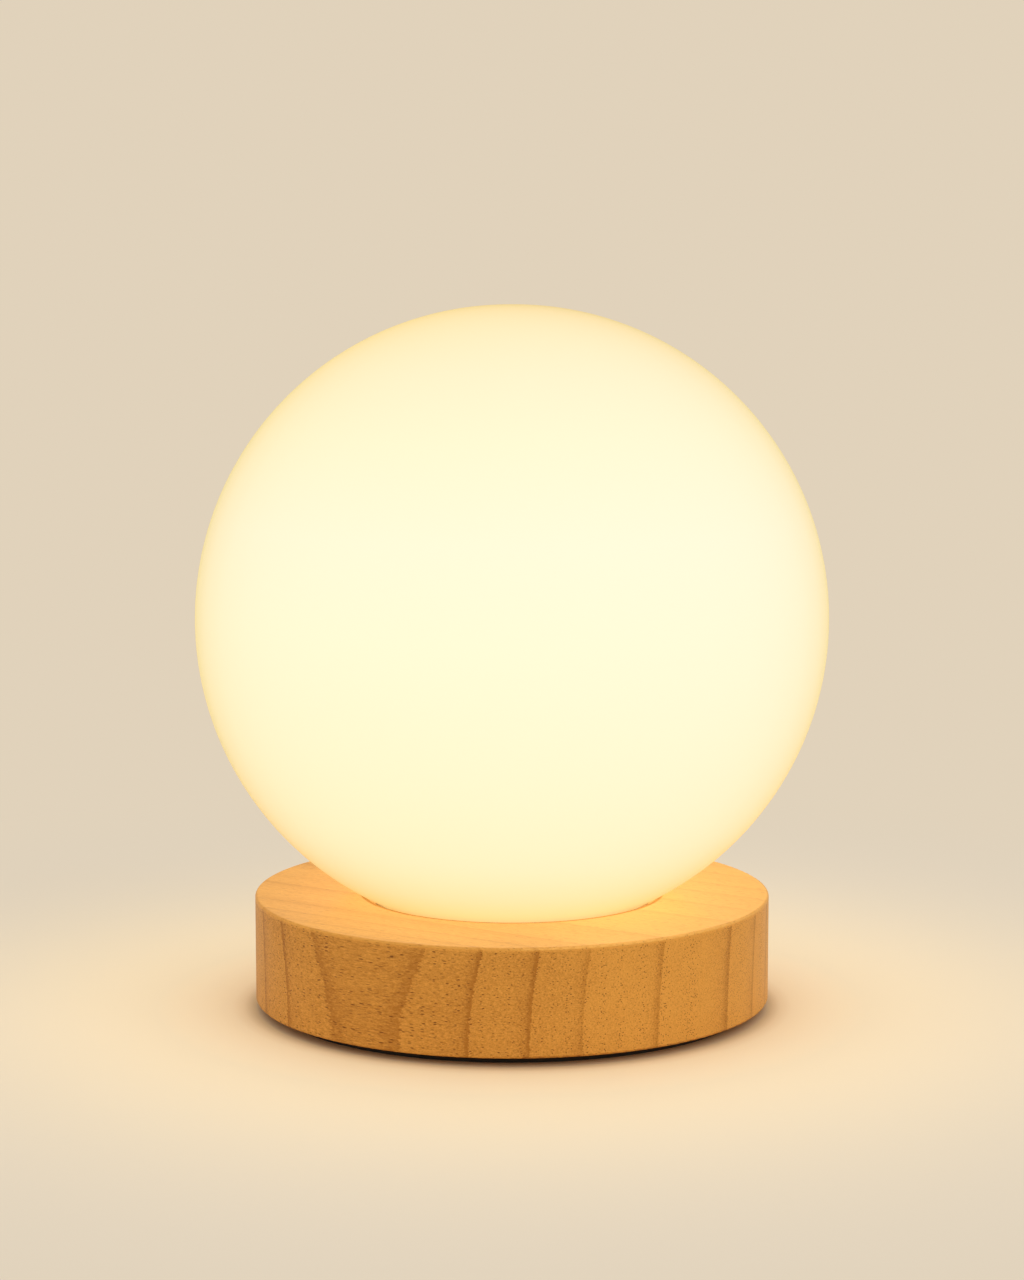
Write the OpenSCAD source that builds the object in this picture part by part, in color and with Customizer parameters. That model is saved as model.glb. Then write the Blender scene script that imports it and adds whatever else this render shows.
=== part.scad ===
// Globe bedside lamp: an opal glass globe that stands in a seat turned in a round wood base.
// Millimetres, +Z up, back of the lamp towards +Y. The origin is the middle of the floor contact.

/* [Globe] */
// Widest outside diameter of the glass
globe_d = 150; // [130:1:190]
// How much the curve of the glass is smaller than half its width, which flattens it slightly
globe_flat = 0.75; // [0.2:0.05:1.5]
// Wall of the glass
globe_wall = 2.6; // [2:0.1:3.2]
// Outside radius of the glass where it meets the top of the wood
foot_r = 35.15; // [33:0.05:40]
// Depth of the ground rim below the top of the wood
rim_drop = 1.2; // [0.8:0.1:2]
// Thickness of the silicone ring under the rim
gasket_t = 0.6; // [0.5:0.1:1.5]

/* [Base] */
// Diameter of the wood
base_d = 123; // [112:1:160]
// Height of the wood
base_h = 25.4; // [24:0.1:40]
// Rounding of the top and bottom edges of the wood
edge_r = 0.6; // [0.3:0.1:2]
// Width of wood left around the wiring space
base_wall = 19.5; // [15:0.5:24]
// Thickness of wood left between the globe's seat and the wiring space
web_t = 7.6; // [5:0.1:9]

/* [Underside] */
// Thickness of the non-slip ring
pad_t = 2; // [1:0.1:3]
// Width of the non-slip ring
pad_w = 6; // [4:0.5:8]
// How far the non-slip ring lies in from the edge of the wood
pad_inset = 4.5; // [2:0.5:6]
// Thickness of the bottom cover
cover_t = 1.5; // [1:0.1:2]
// Width of the wood ledge that the bottom cover is screwed to
cover_ledge = 8; // [7:0.5:10]
// Number of screws in the bottom cover
cover_screw_n = 4; // [3:1:6]
// Thread diameter of the cover's screws
cover_screw_d = 3; // [2.5:0.5:3.5]
// Length of the cover's screws
cover_screw_l = 12; // [8:1:16]

/* [Globe holder] */
// Sheet thickness of the dish
dish_t = 0.8; // [0.6:0.1:1.2]
// Height of the dish's sloped lip
lip_h = 2.5; // [1.5:0.1:4]
// Gap between the dish and the mouth of the glass
dish_gap = 0.9; // [0.6:0.1:2]
// Number of spring arms
spring_n = 3; // [2:1:4]
// Width of a spring arm
spring_w = 7; // [5:0.5:9]
// Thickness of a spring arm
spring_t = 0.4; // [0.3:0.05:0.5]
// Height above the wood at which the springs touch the glass
grip_h = 2.6; // [2:0.1:4]
// Outside radius of the bend that touches the glass
knee_r = 1.2; // [0.9:0.1:2]
// Slope of a spring's tip
tip_slope = 40; // [30:1:50]
// Shank diameter of the rivets
rivet_d = 2.4; // [2:0.1:3]
// Head diameter of the rivets
rivet_head_d = 4.6; // [4:0.1:5.4]
// Head height of the rivets
rivet_head_h = 0.9; // [0.6:0.1:1.2]
// Distance of the rivets from the edge of the dish
rivet_inset = 8; // [7:0.1:8.5]
// Flat steel left around a rivet's head
rivet_land = 0.8; // [0.6:0.1:1.2]
// Gap between the mouth of the glass and the tips of the springs
tip_gap = 1; // [0.6:0.1:2]

/* [Stem] */
// Thread diameter of the stem
stem_d = 10; // [9.5:0.1:10.5]
// Bore of the stem
stem_bore = 7.5; // [7:0.1:8]
// Length of the stem that stands out of each nut
stem_show = 1.2; // [0.6:0.1:2]
// Width of the stem's nuts across the flats
nut_af = 14; // [13:0.1:14.6]
// Thickness of the stem's nuts
nut_t = 3; // [2.5:0.1:4]
// Diameter of the flat washer
washer_d = 24; // [20:1:30]
// Thickness of the flat washer
washer_t = 1.2; // [1:0.1:2]
// Diameter of the toothed washer
lock_d = 17; // [16:0.5:19]
// Thickness of the toothed washer
lock_t = 0.8; // [0.6:0.1:1]
// Number of teeth on the toothed washer
lock_teeth = 10; // [8:1:14]
// Length of a tooth
tooth_l = 1.4; // [1:0.1:1.8]
// Width of a tooth
tooth_w = 1.8; // [1.4:0.1:2.2]

/* [Lampholder] */
// Length of the ceramic body, along the line of the two pins
holder_l = 24; // [23:0.5:28]
// Width of the ceramic body
holder_w = 15; // [14.8:0.1:16]
// Height of the ceramic body
holder_h = 20; // [18:0.5:26]
// Height of the ceramic body above the dish
holder_lift = 10.2; // [9.6:0.1:14]
// Rounding of the ceramic body's upright corners
holder_round = 2; // [1:0.5:3]
// Rounding of the slot's corners
socket_round = 1; // [0.6:0.1:1.2]
// Depth of the slot that the bulb's base goes into
socket_depth = 8; // [7.6:0.1:9]
// Distance between the middles of the two pins
pin_pitch = 9; // [8.6:0.1:9.4]
// Sheet thickness of the bracket
bracket_t = 1.2; // [1:0.1:1.6]
// Length of the bracket
bracket_l = 22; // [21:0.5:23]
// Rounding of the bracket's corners
bracket_round = 2; // [1:0.5:3]
// Steel left above the bracket's screw holes
cheek_land = 2.5; // [2:0.1:4]
// Thread diameter of the bracket's screws
holder_screw_d = 3; // [2.5:0.1:3.2]
// Distance between the bracket's two screws
holder_screw_pitch = 16.4; // [15.8:0.1:17]
// Height of the bracket's screws above the underside of the ceramic body
holder_screw_up = 2.6; // [2.2:0.1:2.8]
// Length of the bracket's screws that stands out of their nuts
screw_show = 0.6; // [0.4:0.1:2]

/* [Contacts] */
// Sheet thickness of the contacts
contact_t = 0.4; // [0.3:0.05:0.5]
// Width of a contact
contact_w = 4.4; // [4:0.1:4.8]
// Height of a contact's leaves
contact_h = 5.6; // [4.5:0.1:6]
// Depth of the pockets that the contacts lie in
pocket_depth = 7; // [6.6:0.1:7.2]
// Gap between a pin and each leaf
leaf_gap = 0.2; // [0.1:0.05:0.3]
// Room for a leaf to give way
leaf_room = 0.8; // [0.6:0.1:1]
// Length of the barrel that takes the wire
barrel_l = 2.5; // [2:0.1:3]
// Wall of the barrel
barrel_t = 0.35; // [0.3:0.05:0.4]

/* [Bulb] */
// Diameter of the bulb
bulb_d = 16; // [14.5:0.5:18]
// Height of the bulb above the ceramic body
bulb_h = 42; // [38:1:50]
// Wall of the frosted cover
envelope_t = 1; // [0.8:0.1:1.2]
// Height of the round part of the bulb's base
bulb_collar_h = 6; // [5:0.5:9]
// Height of the spigot that the cover is glued to
bulb_spigot_h = 2.5; // [2:0.5:4]
// Length of the flat block that goes into the slot
bulb_block_l = 14.4; // [13.8:0.1:14.6]
// Width of the flat block that goes into the slot
bulb_block_w = 5.8; // [5:0.1:6]
// Height of the flat block that goes into the slot
bulb_block_h = 7.5; // [7:0.1:7.5]
// Rounding of the flat block's corners
bulb_block_round = 0.8; // [0.6:0.1:1.2]
// Wire diameter of the pins
pin_d = 0.8; // [0.6:0.05:1]
// Distance between the two legs of a pin's loop
pin_loop = 2.4; // [2:0.1:2.8]
// Length of a pin below its block
pin_l = 5.8; // [5:0.1:6]
// How far a pin is let into its block
pin_root = 2; // [1:0.5:4]
// Width of the board that carries the light chips
board_w = 9; // [8:0.5:10]
// Thickness of the board that carries the light chips
board_t = 1.2; // [0.8:0.1:1.6]
// Space left above the board
board_room = 8; // [8:0.5:12]
// Number of light chips up each side of the board
chip_n = 6; // [4:1:7]
// Side of a light chip
chip_s = 2.8; // [2:0.1:3]
// Height of a light chip
chip_t = 0.6; // [0.4:0.1:1]
// Gap for glue between the cover and the spigot
glue_gap = 0.2; // [0.1:0.05:0.3]

/* [Wiring] */
// Outside diameter of a sleeved wire
lead_d = 2; // [1.6:0.1:2.2]
// Diameter of the bare wire
core_d = 1; // [0.7:0.1:1]
// Distance between the two wires where they enter the ceramic body
lead_pitch_up = 6; // [5.6:0.1:6.4]
// Distance between the two wires inside the stem
lead_pitch = 3.2; // [2.9:0.1:3.4]
// Bend radius of the wires below the stem
lead_bend = 4; // [3.5:0.1:5]
// Length of bare wire at each end
strip_l = 5; // [4:0.5:6]

/* [Terminal block] */
// Length of the terminal block along the wires
block_l = 17; // [16:0.5:22]
// Distance between the two ways of the terminal block
block_pitch = 11; // [10.6:0.1:13]
// Width of one way
way_w = 7.4; // [7:0.1:8.4]
// Height of one way
way_h = 7.4; // [7:0.1:8]
// Rounding along the edges of one way
way_round = 1.5; // [1:0.1:2]
// Thickness of the web between the two ways
block_web_t = 3; // [2:0.1:3.4]
// How far the web stays in from the ends of the block
web_inset = 2; // [1:0.5:4]
// Distance of the terminal block from the stem's axis
block_off = 26; // [25:0.5:30]
// Outside diameter of a brass tube
tube_d = 4.4; // [4:0.1:4.8]
// Bore of a brass tube
tube_bore = 2.8; // [2.6:0.1:3.2]
// Length of a brass tube
tube_l = 14; // [12:0.5:15]
// Thread diameter of the clamping screws
clamp_d = 2.6; // [2.2:0.1:2.8]
// Height of the turrets over the clamping screws
turret_h = 2.4; // [1.5:0.1:3]
// Wall of a turret
turret_wall = 1.2; // [0.9:0.1:1.3]
// How far a clamping screw is sunk in its turret
clamp_sink = 0.8; // [0.4:0.1:1.2]
// Width of a clamping screw's slot
slot_w = 0.5; // [0.4:0.1:0.8]
// Depth of a clamping screw's slot
slot_depth = 0.8; // [0.6:0.1:1.2]
// Thread diameter of the screw that holds the block
block_screw_d = 2.5; // [2.2:0.1:2.8]
// Length of the screw that holds the block
block_screw_l = 8; // [6:0.5:9]
// Length of that screw's point
point_l = 1; // [0.8:0.1:2]
// Width of that screw's point
point_d = 0.6; // [0.4:0.1:1]

/* [Cord entry] */
// Bore of the grommet
grommet_bore = 6.2; // [5.5:0.1:6.8]
// Outside diameter of the grommet's sleeve
grommet_d = 8.8; // [8.4:0.1:10]
// Length of the grommet's sleeve
grommet_l = 8; // [6:0.5:12]
// Diameter of the grommet's flange
flange_d = 12; // [11:0.5:13]
// Thickness of the grommet's flange
flange_t = 2; // [1.6:0.1:2.6]
// Rounding of the flange's edge
flange_round = 0.6; // [0.4:0.1:0.8]
// Depth of the flange's seat in the wood
flange_sink = 1.2; // [0.8:0.1:1.5]

/* [Clearances] */
// Gap between the glass and the edge of its seat in the wood
globe_gap = 0.6; // [0.5:0.05:1]
// Gap left where a rounded face meets another
touch_gap = 0.3; // [0.2:0.05:0.4]
// Gap around a part that drops into a seat
slip = 0.3; // [0.2:0.05:0.4]
// Gap around a thread or a shank
thread_gap = 0.1; // [0.05:0.05:0.15]
// How much deeper a screw's hole is than the screw
drill_past = 0.5; // [0.3:0.1:1]

/* [Hidden] */
$fn = 96;

// Cuts run this far past the face that they open, so that no skin is left
past = 1;
// Sides of a wire, and straight steps in each of its bends
wire_sides = 12;
bend_steps = 6;
// Heads and nuts as shares of the thread: pan head, hexagon nut, countersunk edge, cross recess
pan_wide = 1.85;
pan_high = 0.6;
nut_wide = 11 / 6;
nut_high = 0.8;
csk_edge = 0.07;
recess_wide = 1.1;
recess_deep = 0.4;

// Heights of the base, from the floor up
wood_z = pad_t;
top_z = wood_z + base_h;
rim_z = top_z - rim_drop;
seat_z = rim_z - gasket_t;
ceiling_z = seat_z - web_t;
base_r = base_d / 2;
cavity_r = base_r - base_wall;
ledge_r = cavity_r + cover_ledge;
cover_screw_r = cavity_r + cover_ledge / 2;
cover_z = wood_z + cover_t;
pad_r = base_r - pad_inset;

// The glass: a round wall whose centre of curvature lies globe_flat away from the axis
curve_r = globe_d / 2 - globe_flat;
inner_r = curve_r - globe_wall;
centre_up = sqrt(pow(curve_r, 2) - pow(foot_r - globe_flat, 2));
centre_z = top_z + centre_up;
rim_in = globe_flat + sqrt(pow(inner_r, 2) - pow(centre_up + rim_drop, 2));
rim_out = globe_flat + sqrt(pow(curve_r, 2) - pow(centre_up + rim_drop, 2));
recess_r = foot_r + globe_gap;

// The dish, the spring arms and their rivets
dish_r = rim_in - dish_gap;
dish_top = seat_z + dish_t;
rivet_r = dish_r - rivet_inset;
rivet_step = 360 / spring_n;
spring_back = rivet_head_d / 2 + rivet_land;
foot_x = rivet_r + rivet_head_d / 2 + rivet_land;
foot_y = dish_top + spring_t / 2;
grip_angle = acos((centre_up - grip_h) / inner_r);
knee_reach = inner_r - touch_gap - knee_r;
knee_x = globe_flat + knee_reach * sin(grip_angle);
knee_y = centre_z - knee_reach * cos(grip_angle);
knee_mid = knee_r - spring_t / 2;
knee_far = norm([knee_x - foot_x, knee_y - foot_y]);
arm_angle = atan2(knee_y - foot_y, knee_x - foot_x) - asin(knee_mid / knee_far);
tip_l = (knee_x + knee_r * sin(tip_slope) - rim_in + tip_gap) / cos(tip_slope);

// The stem and what it clamps
stem_hole_d = stem_d + 2 * slip;
bracket_floor = dish_top + bracket_t;
stem_top = bracket_floor + nut_t + stem_show;
washer_z = ceiling_z - washer_t;
lock_z = washer_z - lock_t;
low_nut_z = lock_z - nut_t;
stem_low = low_nut_z - stem_show;

// The lampholder on its bracket
holder_z = dish_top + holder_lift;
holder_top = holder_z + holder_h;
cheek_y = holder_w / 2 + thread_gap;
cheek_out = cheek_y + bracket_t;
screw_z = holder_z + holder_screw_up;
cheek_top = screw_z + holder_screw_d / 2 + cheek_land;
socket_l = bulb_block_l + 2 * slip;
socket_w = bulb_block_w + 2 * slip;
socket_z = holder_top - socket_depth;
pocket_z = socket_z - pocket_depth;
pocket_l = contact_w + 2 * slip;
m3_head_d = pan_wide * holder_screw_d;
m3_head_h = pan_high * holder_screw_d;
m3_nut_af = nut_wide * holder_screw_d;
m3_nut_t = nut_high * holder_screw_d;

// The contacts, whose leaves stand on both sides of a pin
leaf_y = pin_d / 2 + leaf_gap;
pocket_w = 2 * (leaf_y + contact_t + leaf_room);

// The bulb, which stands on the ceramic body
bulb_r = bulb_d / 2;
collar_top = holder_top + bulb_collar_h;
spigot_top = collar_top + bulb_spigot_h;
spigot_r = bulb_r - envelope_t - glue_gap;
bulb_top = holder_top + bulb_h;
block_low = holder_top - bulb_block_h;
board_h = bulb_top - board_room - spigot_top;

// The wires and the terminal block
lead_x_up = lead_pitch_up / 2;
lead_x = lead_pitch / 2;
lead_x_low = block_pitch / 2;
elbow_z = stem_low - slip;
lead_low = elbow_z - lead_bend;
tube_z = ceiling_z - way_h / 2;
block_front = block_off - block_l / 2;
turret_low = ceiling_z - way_h - turret_h;
clamp_off = tube_l / 4;
clamp_top = tube_z - core_d / 2 - thread_gap;
block_head_d = pan_wide * block_screw_d;
block_head_h = pan_high * block_screw_d;
screw_low = -way_h / 2 - turret_h + clamp_sink;

// The cord entry in the back of the wood
cord_z = (cover_z + ceiling_z) / 2;
flange_y = base_r - flange_sink;

// A rectangle with round corners, drawn about its middle
module slab(l, w, r) {
    square([l - 2 * r, w], center = true);
    square([l, w - 2 * r], center = true);
    for (sx = [-1, 1], sy = [-1, 1])
        translate([sx * (l / 2 - r), sy * (w / 2 - r)]) circle(r);
}

// A low round head of diameter d and height h, standing on the origin
module dome(d, h) {
    ball_r = (d * d / 4 + h * h) / (2 * h);
    intersection() {
        translate([0, 0, h - ball_r]) sphere(ball_r);
        cylinder(d = d, h = h);
    }
}

// A hexagon nut with turned corners, its flats facing the Y axis
module hex_nut(af, t, bore) {
    corner_r = af / sqrt(3);
    chamfer = corner_r - af / 2;
    difference() {
        intersection() {
            linear_extrude(t) circle(r = corner_r, $fn = 6);
            rotate_extrude() polygon([
                [0, 0], [corner_r - chamfer, 0], [corner_r + past, (chamfer + past) / 2],
                [corner_r + past, t - (chamfer + past) / 2], [corner_r - chamfer, t], [0, t]
            ]);
        }
        translate([0, 0, -past]) cylinder(d = bore, h = t + 2 * past);
    }
}

// A cross recess for a screw of thread d, cut into a face at the origin that looks down
module cross_recess(d) {
    size = recess_wide * d;
    for (turn = [0, 90])
        rotate([0, 0, turn]) translate([-size / 2, -size / 8, -past])
            cube([size, size / 4, recess_deep * d + past]);
}

// A countersunk wood screw, head down, with its head's face on the origin
module wood_screw(d, l) {
    edge = csk_edge * d;
    difference() {
        rotate_extrude() polygon([
            [0, 0], [d, 0], [d, edge], [d / 2, d / 2 + edge], [d / 2, l - d], [0, l]
        ]);
        cross_recess(d);
    }
}

// The hole that takes a countersunk wood screw
module wood_screw_hole(d, l) {
    edge = csk_edge * d;
    head_r = d + thread_gap;
    shank_r = d / 2 + thread_gap;
    translate([0, 0, -past]) cylinder(r = head_r, h = past + edge);
    translate([0, 0, edge]) cylinder(r1 = head_r, r2 = shank_r, h = head_r - shank_r);
    cylinder(r = shank_r, h = l + drill_past);
}

// Points and headings along a bend from p, heading t, turning towards n
function bend_route(p, t, n, r, angle) = [
    for (i = [0 : bend_steps])
        let (a = angle * i / bend_steps)
            [p + r * sin(a) * t + r * (1 - cos(a)) * n, cos(a) * t + sin(a) * n]
];

// Points and headings along two bends that carry a wire sideways by shift while it runs on by run
function double_bend_route(p, t, n, shift, run) =
    let (angle = 2 * atan(shift / run), r = shift / (2 * (1 - cos(angle))), q = p + shift * n + run * t)
        concat(
            bend_route(p, t, n, r, angle),
            [
                for (i = [bend_steps - 1 : -1 : 0])
                    let (a = angle * i / bend_steps)
                        [q - r * sin(a) * t - r * (1 - cos(a)) * n, cos(a) * t + sin(a) * n]
            ]
        );

// A round wire swept along a route of points and headings, none of them along X
module wire(route, wire_r) {
    rings = [
        for (step = route)
            let (
                t = step[1],
                across = [1, 0, 0] - t[0] * t,
                u = across / norm(across),
                v = cross(t, u)
            )
                for (i = [0 : wire_sides - 1])
                    step[0] + wire_r * (cos(i * 360 / wire_sides) * u + sin(i * 360 / wire_sides) * v)
    ];
    last = (len(route) - 1) * wire_sides;
    sides = [
        for (k = [0 : len(route) - 2], i = [0 : wire_sides - 1])
            let (a = k * wire_sides + i, b = k * wire_sides + (i + 1) % wire_sides)
                each [[b, a, a + wire_sides], [b, a + wire_sides, b + wire_sides]]
    ];
    near_end = [for (i = [1 : wire_sides - 2]) [0, i, i + 1]];
    far_end = [for (i = [1 : wire_sides - 2]) [last, last + i + 1, last + i]];
    polyhedron(rings, concat(sides, near_end, far_end));
}

// Places its children at each cover screw
module at_cover_screws() {
    for (n = [0 : cover_screw_n - 1])
        rotate([0, 0, (n + 0.5) * 360 / cover_screw_n])
            translate([cover_screw_r, 0, wood_z]) children();
}

// Places its children on each spring arm's line, outwards along +X
module at_springs() {
    for (n = [0 : spring_n - 1])
        rotate([0, 0, n * rivet_step]) children();
}

// Solid hardwood block: turned, hollowed underneath, drilled for the stem, cord and screws
module wood_base() color("BurlyWood") difference() {
    rotate_extrude() {
        translate([0, wood_z]) square([base_r - edge_r, base_h]);
        translate([0, wood_z + edge_r]) square([base_r, base_h - 2 * edge_r]);
        for (z = [wood_z + edge_r, top_z - edge_r])
            translate([base_r - edge_r, z]) circle(edge_r);
    }
    translate([0, 0, seat_z]) cylinder(r = recess_r, h = rim_drop + gasket_t + past);
    translate([0, 0, wood_z - past]) cylinder(r = cavity_r, h = ceiling_z - wood_z + past);
    translate([0, 0, wood_z - past]) cylinder(r = ledge_r, h = cover_t + past);
    cylinder(d = stem_hole_d, h = top_z);
    at_springs() translate([rivet_r, 0, seat_z - rivet_head_h - slip])
        cylinder(d = rivet_head_d + 2 * slip, h = rivet_head_h + slip + past);
    at_cover_screws() wood_screw_hole(cover_screw_d, cover_screw_l);
    translate([0, cavity_r - past, cord_z]) rotate([-90, 0, 0])
        cylinder(d = grommet_d + 2 * thread_gap, h = base_wall + 2 * past);
    translate([0, flange_y, cord_z]) rotate([-90, 0, 0])
        cylinder(d = flange_d + 2 * slip, h = flange_sink + past);
    translate([0, block_off, ceiling_z - past])
        cylinder(
            d = block_screw_d + 2 * thread_gap,
            h = block_screw_l - block_web_t + past + drill_past
        );
}

// Blown opal glass, open at the bottom with a rim ground flat
module globe_shade() color("Ivory") translate([0, 0, centre_z]) rotate_extrude() difference() {
    intersection() {
        union() {
            translate([globe_flat, 0]) circle(curve_r, $fn = 240);
            translate([0, -curve_r]) square([globe_flat, 2 * curve_r]);
        }
        translate([0, -centre_up - rim_drop]) square([globe_d, globe_d]);
    }
    translate([globe_flat, 0]) circle(inner_r, $fn = 240);
    translate([0, -inner_r]) square([globe_flat, 2 * inner_r]);
}

// Black non-slip ring glued under the wood
module foot_ring() color("DimGray") difference() {
    cylinder(r = pad_r, h = pad_t);
    translate([0, 0, -past]) cylinder(r = pad_r - pad_w, h = pad_t + 2 * past);
}

// Silicone ring that the glass stands on
module shade_gasket() color("WhiteSmoke") translate([0, 0, seat_z]) difference() {
    cylinder(r = rim_out + slip, h = gasket_t);
    translate([0, 0, -past]) cylinder(r = rim_in + slip, h = gasket_t + 2 * past);
}

// White pressed dish inside the mouth, its lip at 45 degrees and notched for the spring arms
module shade_dish() color("White") translate([0, 0, seat_z]) difference() {
    flat_r = dish_r - lip_h;
    rotate_extrude() polygon([
        [stem_d / 2 + thread_gap, 0], [flat_r, 0], [dish_r, lip_h],
        [dish_r, lip_h + sqrt(2) * dish_t], [flat_r - tan(22.5) * dish_t, dish_t],
        [stem_d / 2 + thread_gap, dish_t]
    ]);
    at_springs() {
        translate([flat_r, -spring_w / 2 - slip, -past])
            cube([lip_h + past, spring_w + 2 * slip, lip_h + 2 * dish_t + past]);
        translate([rivet_r, 0, -past]) cylinder(d = rivet_d + 2 * thread_gap, h = dish_t + 2 * past);
    }
}

// Side view of the space inside a spring arm that is bent to follow its outer face, inset by in
module spring_space(in) {
    start = rivet_r - spring_back - (in > 0 ? past : 0);
    bend_out = knee_r - in;
    lower = [knee_x + bend_out * sin(arm_angle), knee_y - bend_out * cos(arm_angle)];
    back = (lower[1] - dish_top - in) / sin(arm_angle);
    upper = [knee_x + bend_out * sin(tip_slope), knee_y + bend_out * cos(tip_slope)];
    reach = tip_l + (in > 0 ? past : 0);
    tip = upper + reach * [-cos(tip_slope), sin(tip_slope)];
    polygon([
        [start, dish_top + in], lower - back * [cos(arm_angle), sin(arm_angle)], lower,
        [knee_x, knee_y], upper, tip, tip - (spring_t + in) * [sin(tip_slope), cos(tip_slope)],
        [start, dish_top + 2 * spring_t]
    ]);
    translate([knee_x, knee_y]) circle(bend_out);
}

// Side view of one spring arm: foot, rising arm, round knee at the glass, tip leaning inwards
module spring_outline() {
    difference() {
        spring_space(0);
        spring_space(spring_t);
    }
}

// Three spring-steel arms that hold the glass from inside
module shade_springs() color("Silver") at_springs() difference() {
    rotate([90, 0, 0]) linear_extrude(spring_w, center = true) spring_outline();
    translate([rivet_r, 0, dish_top - past]) cylinder(d = rivet_d + 2 * thread_gap, h = spring_t + 2 * past);
}

// Rivets through the dish and the spring arms
module spring_rivets() color("Silver") at_springs() translate([rivet_r, 0, seat_z]) {
    translate([0, 0, -rivet_head_h]) cylinder(d = rivet_head_d, h = rivet_head_h);
    cylinder(d = rivet_d, h = dish_t + spring_t);
    translate([0, 0, dish_t + spring_t]) dome(rivet_head_d, rivet_head_h);
}

// Hollow threaded tube through the wood
module stem_tube() color("Gainsboro") translate([0, 0, stem_low]) difference() {
    cylinder(d = stem_d, h = stem_top - stem_low);
    translate([0, 0, -past]) cylinder(d = stem_bore, h = stem_top - stem_low + 2 * past);
}

// One nut held between the bracket's cheeks, one tightened from below
module stem_nuts() color("Silver") for (z = [bracket_floor, low_nut_z])
    translate([0, 0, z]) hex_nut(nut_af, nut_t, stem_d + 2 * thread_gap);

// Washer with outside teeth that bites the flat washer
module lock_washer() color("Silver") translate([0, 0, lock_z]) difference() {
    ring_r = lock_d / 2 - tooth_l;
    union() {
        cylinder(r = ring_r, h = lock_t);
        for (n = [0 : lock_teeth - 1])
            rotate([0, 0, n * 360 / lock_teeth]) translate([ring_r - past, -tooth_w / 2, 0])
                cube([tooth_l + past, tooth_w, lock_t]);
    }
    translate([0, 0, -past]) cylinder(d = stem_d + 2 * thread_gap, h = lock_t + 2 * past);
}

// Large washer that spreads the nut's load on the wood
module flat_washer() color("Silver") translate([0, 0, washer_z]) difference() {
    cylinder(d = washer_d, h = washer_t);
    translate([0, 0, -past]) cylinder(d = stem_d + 2 * thread_gap, h = washer_t + 2 * past);
}

// Steel U bracket whose cheeks hold the ceramic body between them
module holder_bracket() color("Silver") difference() {
    union() {
        translate([0, 0, dish_top]) linear_extrude(bracket_t)
            square([bracket_l, 2 * cheek_out], center = true);
        for (side = [-1, 1])
            translate([0, side * (cheek_y + bracket_t / 2), (cheek_top + dish_top) / 2])
                rotate([90, 0, 0]) linear_extrude(bracket_t, center = true)
                    slab(bracket_l, cheek_top - dish_top, bracket_round);
        for (side = [-1, 1])
            translate([0, side * (cheek_y + bracket_t / 2), dish_top + bracket_t])
                cube([bracket_l, bracket_t, 2 * bracket_t], center = true);
    }
    translate([0, 0, dish_top - past])
        cylinder(d = stem_d + 2 * thread_gap, h = bracket_t + 2 * past);
    for (side = [-1, 1])
        translate([side * holder_screw_pitch / 2, 0, screw_z]) rotate([90, 0, 0])
            cylinder(d = holder_screw_d + 2 * thread_gap, h = 4 * cheek_out, center = true);
}

// Pan head screws right through the bracket and the ceramic, heads to the front
module holder_screws() color("Silver") for (side = [-1, 1])
    translate([side * holder_screw_pitch / 2, -cheek_out, screw_z]) difference() {
        rotate([-90, 0, 0]) union() {
            translate([0, 0, -m3_head_h]) cylinder(d = m3_head_d, h = m3_head_h);
            cylinder(d = holder_screw_d, h = 2 * cheek_out + m3_nut_t + screw_show);
        }
        translate([0, -m3_head_h, 0]) rotate([-90, 0, 0]) cross_recess(holder_screw_d);
    }

// Nuts on the back of the bracket's screws
module holder_nuts() color("Silver") for (side = [-1, 1])
    translate([side * holder_screw_pitch / 2, cheek_out, screw_z]) rotate([-90, 0, 0])
        hex_nut(m3_nut_af, m3_nut_t, holder_screw_d + 2 * thread_gap);

// Ceramic body: a slot for the bulb's base, a pocket for each contact, holes for wires and screws
module lampholder() color("Snow") difference() {
    translate([0, 0, holder_z]) linear_extrude(holder_h) slab(holder_l, holder_w, holder_round);
    translate([0, 0, socket_z]) linear_extrude(socket_depth + past)
        slab(socket_l, socket_w, socket_round);
    for (side = [-1, 1]) {
        translate([side * pin_pitch / 2, 0, pocket_z]) linear_extrude(pocket_depth + past)
            square([pocket_l, pocket_w], center = true);
        translate([side * lead_x_up, 0, holder_z - past])
            cylinder(d = lead_d + 2 * thread_gap, h = pocket_z - holder_z + 2 * past);
        translate([side * holder_screw_pitch / 2, 0, screw_z]) rotate([90, 0, 0])
            cylinder(d = holder_screw_d + 2 * thread_gap, h = 2 * holder_w, center = true);
    }
}

// Sprung contacts: a foot with two leaves and a barrel for the wire
module lamp_contacts() color("Goldenrod") for (side = [-1, 1]) difference() {
    barrel_r = core_d / 2 + thread_gap;
    union() {
        translate([side * pin_pitch / 2, 0, pocket_z]) {
            translate([-contact_w / 2, -leaf_y - contact_t, 0])
                cube([contact_w, 2 * (leaf_y + contact_t), contact_t]);
            for (face = [-1, 1])
                translate([0, face * (leaf_y + contact_t / 2), (contact_h + contact_t) / 2])
                    cube([contact_w, contact_t, contact_h + contact_t], center = true);
        }
        translate([side * lead_x_up, 0, pocket_z - barrel_l])
            cylinder(r = barrel_r + barrel_t, h = barrel_l + contact_t / 2);
    }
    translate([side * lead_x_up, 0, pocket_z - barrel_l - past])
        cylinder(r = barrel_r, h = barrel_l + past);
}

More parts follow.
